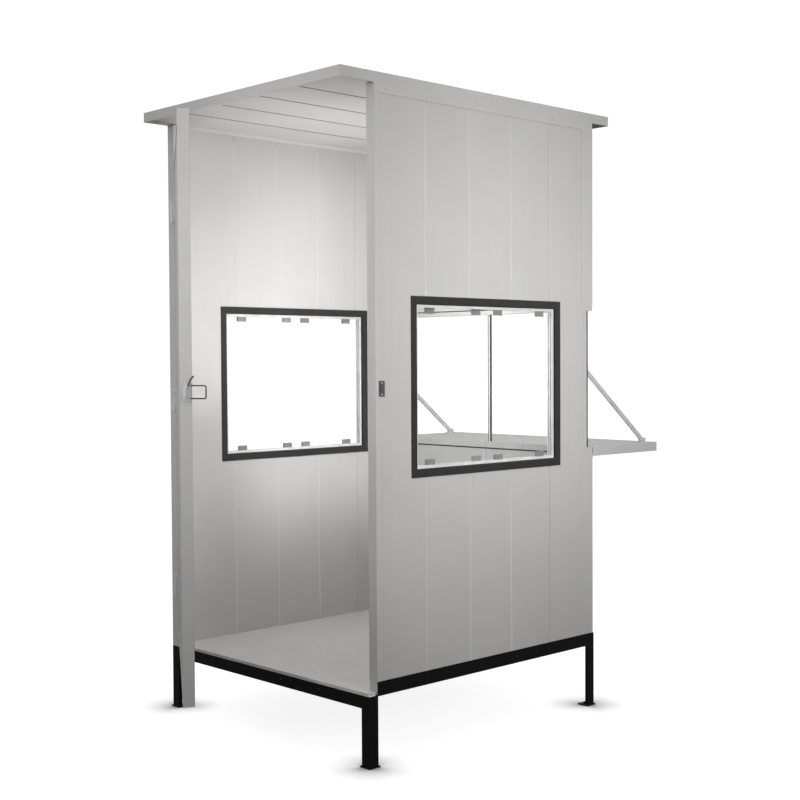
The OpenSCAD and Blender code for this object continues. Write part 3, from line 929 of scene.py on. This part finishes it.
class BOOTH_OT_hatch(bpy.types.Operator):
    """Adds the hatch's seals and edge trims, the counter's edging and the stays' bolts"""

    bl_idname = "booth.hatch"
    bl_label = "Fit Out the Hatch"
    bl_options = {"REGISTER", "UNDO"}

    def execute(self, context):
        sizes = context.scene.booth_sizes
        t = sizes.sheet
        sill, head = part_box("hatch_sill"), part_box("hatch_head")
        room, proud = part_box("wall_right")[0].x, 0.0012
        bm = bmesh.new()
        for y, z, half in ((sill[0].y, sill[0].z, 0.0035), (head[0].y, head[1].z, 0.0025)):
            block(bm, (-room, y - proud, z - half), (room, y, z + half))
        piece("hatch_seals", bm, "rubber", "booth", bevel=0.0004)
        for side, sign in SIDES:
            low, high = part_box(f"wall_{side}")
            x = low.x if sign < 0 else high.x
            bm = bmesh.new()
            off, bend, crest, foot = high.y + sizes.jamb_seal, 0.003, 0.009, 0.013
            outline = [(x, high.y), (x, off - bend), (x - sign * bend, off), (x - sign * crest, off),
                       (x - sign * foot, high.y)]
            prism(bm, outline, sill[1].z, head[0].z, (X, Y, Z))
            piece(f"jamb_seal_{side}", bm, "rubber", "booth")
        low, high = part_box("hatch_mullion")
        x, w, deep, left, right = (low.x + high.x) / 2, 0.004, 0.012, 0.0045, 0.0025
        for name, look, x0, x1 in (
            ("mullion_bar", "channel", x - w, x + w),
            ("mullion_seal_left", "rubber", x - w - left, x - w),
            ("mullion_seal_right", "rubber", x + w, x + w + right),
        ):
            bm = bmesh.new()
            block(bm, (x0, high.y - deep, low.z), (x1, high.y, high.z))
            piece(name, bm, look, "booth", ["hatch_mullion"], bevel=0.0006)
        low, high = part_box("counter_shelf")
        bm = bmesh.new()
        block(bm, (low.x, high.y - t, low.z), high)
        piece("counter_nose", bm, "dark", "booth", bevel=0.0003)
        bm = bmesh.new()
        pin_r, outside, below = 0.0045, 0.0028, 0.001
        spot = (0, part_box("wall_back_lower")[1].y + outside, low.z - below)
        lathe(bm, [(0, low.x), (pin_r, low.x), (pin_r, high.x), (0, high.x)], spot, (1, 0, 0), 14)
        piece("counter_hinge", bm, "bright", "booth")
        bm = bmesh.new()
        half, screw_r, apart, foot_t = 0.012, 0.0035, 0.018, 0.004
        outer_in, outer_up, inner_out, inner_down = 0.024, 0.012, 0.016, 0.014
        for side, _ in SIDES:
            a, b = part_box(f"counter_stay_{side}")
            x_mid, outer_y = (a.x + b.x) / 2, b.y - outer_in
            for sign in (-1, 1):
                bolt(bm, (x_mid + sign * half, outer_y, a.z + outer_up), (sign, 0, 0), pin_r)
                bolt(bm, (x_mid + sign * half, a.y + inner_out, b.z - inner_down), (sign, 0, 0), pin_r)
            for dy in (-apart, apart):
                rivet(bm, (x_mid, outer_y + dy, a.z + foot_t), (0, 0, 1), screw_r)
        piece("stay_bolts", bm, "bright", "booth")
        return {"FINISHED"}


class BOOTH_OT_base(bpy.types.Operator):
    """Adds the foot plates' bolts"""

    bl_idname = "booth.base"
    bl_label = "Detail the Base"
    bl_options = {"REGISTER", "UNDO"}

    def execute(self, context):
        bm = bmesh.new()
        for leg in ("front_left", "front_right", "rear_left", "rear_right"):
            low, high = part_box(f"leg_{leg}")
            sign = -1 if "left" in leg else 1
            back = 1 if "rear" in leg else -1
            x, y = (low.x + high.x) / 2, (low.y + high.y) / 2
            inward, plate_t, bolt_r = 0.006, 0.005, 0.005
            bolt(bm, (x - sign * inward, y - back * inward, low.z + plate_t), (0, 0, 1), bolt_r)
        piece("foot_bolts", bm, "frame", "booth")
        return {"FINISHED"}


class BOOTH_OT_door(bpy.types.Operator):
    """Builds the door leaf's boards, seal and screws"""

    bl_idname = "booth.door"
    bl_label = "Build the Door"
    bl_options = {"REGISTER", "UNDO"}

    def execute(self, context):
        sizes = context.scene.booth_sizes
        rim = closed_box("door_rim")
        low, high = closed_box("door_leaf")
        bm = bmesh.new()
        spots = steps(low.x + sizes.pitch / 2, sizes.pitch, high.x)
        prism(bm, jointed(low.x, high.x, low.y, high.y, spots, sizes), low.z, high.z, (X, Y, Z))
        piece("door_boards", bm, "panel", "door", ["door_leaf"], move=SWING)
        inset, half = 0.012, 0.0006
        seal_low = (rim[0].x + inset, rim[1].y - half, rim[0].z + inset)
        seal_high = (rim[1].x - inset, rim[1].y + half, rim[1].z - inset)
        bm = bmesh.new()
        ring(bm, seal_low, seal_high, sizes.seal, Y)
        piece("door_seal", bm, "rubber", "door", bevel=0.0003, move=SWING)
        hinge_edge, hinge_screw_r = 0.011, 0.004
        bm = bmesh.new()
        for name in HINGES:
            a, b = closed_box(f"hinge_moving_{name}")
            for z in screw_heights(a, b):
                rivet(bm, (b.x - hinge_edge, rim[0].y - HINGE_T, z), (0, -1, 0), hinge_screw_r)
        a, b = closed_box("latch_plate")
        inset, edge, screw_r = 0.008, 0.006, 0.0028
        for z in (a.z + inset, b.z - inset):
            rivet(bm, (rim[1].x + PLATE_T, a.y + edge, z), (1, 0, 0), screw_r)
        piece("door_screws", bm, "bright", "door", smooth=True, move=SWING)
        bm = bmesh.new()
        for name in HINGES:
            a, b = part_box(f"hinge_fixed_{name}")
            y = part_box("wall_left")[0].y - HINGE_T
            for z in screw_heights(a, b):
                rivet(bm, (a.x + hinge_edge, y, z), (0, -1, 0), hinge_screw_r)
        piece("hinge_screws", bm, "bright", "booth", smooth=True)
        return {"FINISHED"}


class BOOTH_OT_latch(bpy.types.Operator):
    """Builds the latch's sleeve, lever and bail, and adds its cover and the keeper's screws"""

    bl_idname = "booth.latch"
    bl_label = "Detail the Latch"
    bl_options = {"REGISTER", "UNDO"}

    def execute(self, context):
        low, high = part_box("latch_keeper")
        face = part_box("wall_right")[1].x + PLATE_T
        mid_y, inset, screw_r = (low.y + high.y) / 2, 0.008, 0.003
        bm = bmesh.new()
        for z in (low.z + inset, high.z - inset):
            rivet(bm, (face, mid_y, z), (1, 0, 0), screw_r)
        piece("keeper_screws", bm, "bright", "booth", smooth=True)
        self.hook()
        self.cover()
        return {"FINISHED"}

    def hook(self):
        """Sleeve, lever and wire bail, drawn with the pivot at the origin and the bail along +Y."""
        low, high = closed_box("latch_hook", HOOK)
        reach, tall, sleeve = high.y, high.z, -low.y
        arm, arm_bend, lever, lever_bend, bore_r, grip_half = 0.0026, 0.006, 0.0034, 0.004, 0.0033, 0.0016
        bm = bmesh.new()
        z = tall - arm
        out, end = sleeve * 0.8, reach - arm
        tube(bm, rounded([(0, out, z), (0, end, z), (0, end, -z), (0, out, -z)], arm_bend), arm)
        piece("latch_bail", bm, "dark", "hook", ["latch_hook"], smooth=True, move=HOOK)
        bm = bmesh.new()
        half = ((0.9, 1.0), (1.0, 0.96), (1.0, 0.62), (0.86, 0.6))
        wall = [(sleeve * k, -h * tall) for k, h in half]
        wall += [(sleeve * k, h * tall) for k, h in reversed(half)]
        lathe(bm, [(bore_r, -tall), *wall, (bore_r, tall), (bore_r, -tall)], (0, 0, 0), (0, 0, 1), 32)
        grip = [(sleeve * 0.6, -tall * 0.9), (high.x * 0.7, -tall * 0.9), (high.x, -tall * 0.55),
                (high.x, tall * 0.55), (high.x * 0.7, tall * 0.9), (sleeve * 0.6, tall * 0.9)]
        prism(bm, grip, -grip_half, grip_half, (X, Z, Y))
        piece("latch_sleeve", bm, "bright", "hook", ["latch_hook"], bevel=0.0003, move=HOOK)
        bm = bmesh.new()
        path = [(sleeve * 0.75, 0, tall * 0.7), (sleeve * 1.1, 0, tall * 1.1),
                (sleeve * 1.1, reach * 0.16, tall * 1.9), (sleeve * 1.1, reach * 0.3, tall * 2.2)]
        tube(bm, rounded(path, lever_bend), lever)
        piece("latch_handle", bm, "dark", "hook", smooth=True, move=HOOK)

    def cover(self):
        """Raised cover on the latch's plate, with its outer corners cut off."""
        low, high = closed_box("latch_plate")
        mid = (low.z + high.z) / 2
        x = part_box("wall_right")[1].x + PLATE_T
        edge, slope, flat = low.y + 0.0015, low.y + 0.0105, low.y + 0.0135
        short, tall, rise = 0.016, 0.022, 0.0022
        outline = [(edge, mid - short), (slope, mid - tall), (flat, mid - tall),
                   (flat, mid + tall), (slope, mid + tall), (edge, mid + short)]
        bm = bmesh.new()
        prism(bm, outline, x - SUNK, x + rise, (Y, Z, X))
        piece("latch_cover", bm, "channel", "door", bevel=0.0008, move=SWING)


class BOOTH_OT_stage(bpy.types.Operator):
    """Sets the floor, the light and the camera"""

    bl_idname = "booth.stage"
    bl_label = "Set the Stage"
    bl_options = {"REGISTER", "UNDO"}

    def execute(self, context):
        stage = context.scene.booth_stage
        self.floor(stage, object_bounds()[0].z)
        self.world(stage)
        self.lights(stage)
        self.camera(stage)
        context.scene.view_settings.view_transform = "Standard"
        return {"FINISHED"}

    def floor(self, stage, z):
        bm = bmesh.new()
        bmesh.ops.create_grid(bm, x_segments=8, y_segments=8, size=60.0)
        mesh = bpy.data.meshes.new("studio_floor")
        bm.to_mesh(mesh)
        bm.free()
        g = Graph("Studio floor")
        # Ambient occlusion darkens the floor's colour and glow round what stands on it: a painted contact
        # shadow.
        shaded = g.add("AmbientOcclusion", {"samples": 16}, {"Distance": stage.contact})
        near = Value(g, shaded.outputs["AO"])
        mesh.materials.append(g.surface({
            "Base Color": g.blend(near, shade(stage.floor, 0.3), shade(stage.floor, 1.0)),
            "Roughness": 0.9,
            "Specular IOR Level": 0.1,
            "Emission Color": g.blend(near ** 6.0, (0.1, 0.1, 0.1, 1.0), (1.0, 1.0, 1.0, 1.0)),
            "Emission Strength": stage.glow,
        }))
        thing = bpy.data.objects.new("studio_floor", mesh)
        thing.location.z = z - 0.0005
        bpy.context.scene.collection.objects.link(thing)
        thing.visible_diffuse = False
        thing.visible_glossy = False
        thing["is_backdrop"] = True

    def world(self, stage):
        """A white backdrop, and a light that is brighter from above than from below."""
        g = Graph("Studio", bpy.data.worlds)
        way = g.add("TexCoord").outputs["Generated"]
        up = g.add("SeparateXYZ", given={"Vector": way}).outputs["Z"]
        ramp = g.add("MapRange", given={
            "Value": up, "From Min": -0.35, "From Max": 0.25, "To Min": stage.ground, "To Max": stage.sky,
        }).outputs["Result"]
        light = g.add("Background", given={"Strength": ramp}).outputs["Background"]
        white = {"Color": (1.0, 1.0, 1.0, 1.0), "Strength": 1.05}
        seen = g.add("Background", given=white).outputs["Background"]
        first = g.add("LightPath").outputs["Is Camera Ray"]
        mixed = g.add("MixShader", given={0: first, 1: light, 2: seen}).outputs["Shader"]
        g.add("OutputWorld", given={"Surface": mixed})
        bpy.context.scene.world = g.owner

    def lamp(self, name, spot, aim, power, size, beam=180.0):
        light = bpy.data.lights.new(name, "AREA")
        light.shape, light.size, light.energy, light.spread = "DISK", size, power, math.radians(beam)
        thing = bpy.data.objects.new(name, light)
        thing.visible_camera = False
        thing.visible_glossy = False
        thing.location = spot
        thing.rotation_mode = "QUATERNION"
        thing.rotation_quaternion = (Vector(aim) - Vector(spot)).to_track_quat("-Z", "Y")
        bpy.context.scene.collection.objects.link(thing)

    def lights(self, stage):
        self.lamp("Key", (4.2, -0.5, 2.1), (0.65, 0.05, 1.42), stage.key, 1.6, 50.0)
        self.lamp("Side", (4.2, 0.8, 2.2), (0.65, 0.6, 1.0), stage.side, 1.6, 60.0)
        self.lamp("Fill", (0.9, -3.6, 2.2), (0.1, -0.4, 1.45), stage.fill, 1.4, 60.0)
        self.lamp("Room", (0.4, -0.1, 1.4), (-0.6, 0.0, 1.45), stage.room, 0.6)
        self.lamp("Lift", (0.17, -0.2, 0.9), (0.27, -0.15, 2.3), stage.lift, 0.4)
        self.lamp("Drop", (0.15, 0.05, 2.2), (0.0, 0.1, 0.0), stage.drop, 0.5)

    def camera(self, stage):
        lens = bpy.data.cameras.new("Camera")
        lens.lens, lens.sensor_width = stage.lens, 36.0
        lens.clip_end = 300.0
        thing = bpy.data.objects.new("Camera", lens)
        thing.location = stage.eye
        ahead = Vector((
            -math.sin(stage.yaw) * math.cos(stage.pitch),
            math.cos(stage.yaw) * math.cos(stage.pitch),
            -math.sin(stage.pitch),
        ))
        level = Vector((math.cos(stage.yaw), math.sin(stage.yaw), 0.0))
        up = level.cross(ahead)
        c, s = math.cos(stage.roll), math.sin(stage.roll)
        right, top = c * level + s * up, c * up - s * level
        turn = Matrix((right, top, -ahead)).transposed().to_4x4()
        thing.matrix_world = Matrix.Translation(stage.eye) @ turn
        bpy.context.scene.collection.objects.link(thing)
        bpy.context.scene.camera = thing


class BOOTH_PT_panel(bpy.types.Panel):
    """Lists the booth's operators and settings"""

    bl_idname = "BOOTH_PT_panel"
    bl_label = "Guard Booth"
    bl_space_type = "VIEW_3D"
    bl_region_type = "UI"
    bl_category = "Booth"

    def draw(self, context):
        for step in STEPS:
            self.layout.operator(step.bl_idname)
        for group in (context.scene.booth_sizes, context.scene.booth_finishes, context.scene.booth_stage):
            box = self.layout.box()
            for key in group.__annotations__:
                box.prop(group, key)


STEPS = (
    BOOTH_OT_finishes,
    BOOTH_OT_walls,
    BOOTH_OT_roof,
    BOOTH_OT_trims,
    BOOTH_OT_rivets,
    BOOTH_OT_windows,
    BOOTH_OT_hatch,
    BOOTH_OT_base,
    BOOTH_OT_door,
    BOOTH_OT_latch,
    BOOTH_OT_stage,
)
CLASSES = (BoothSizes, BoothFinishes, BoothStage, *STEPS, BOOTH_PT_panel)


def register():
    for cls in CLASSES:
        bpy.utils.register_class(cls)
    bpy.types.Scene.booth_sizes = PointerProperty(type=BoothSizes)
    bpy.types.Scene.booth_finishes = PointerProperty(type=BoothFinishes)
    bpy.types.Scene.booth_stage = PointerProperty(type=BoothStage)


def unregister():
    del bpy.types.Scene.booth_stage, bpy.types.Scene.booth_finishes, bpy.types.Scene.booth_sizes
    for cls in reversed(CLASSES):
        bpy.utils.unregister_class(cls)


def main():
    """Registers the add-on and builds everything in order."""
    register()
    for step in STEPS:
        group, name = step.bl_idname.split(".")
        getattr(getattr(bpy.ops, group), name)()


if __name__ == "__main__":
    main()
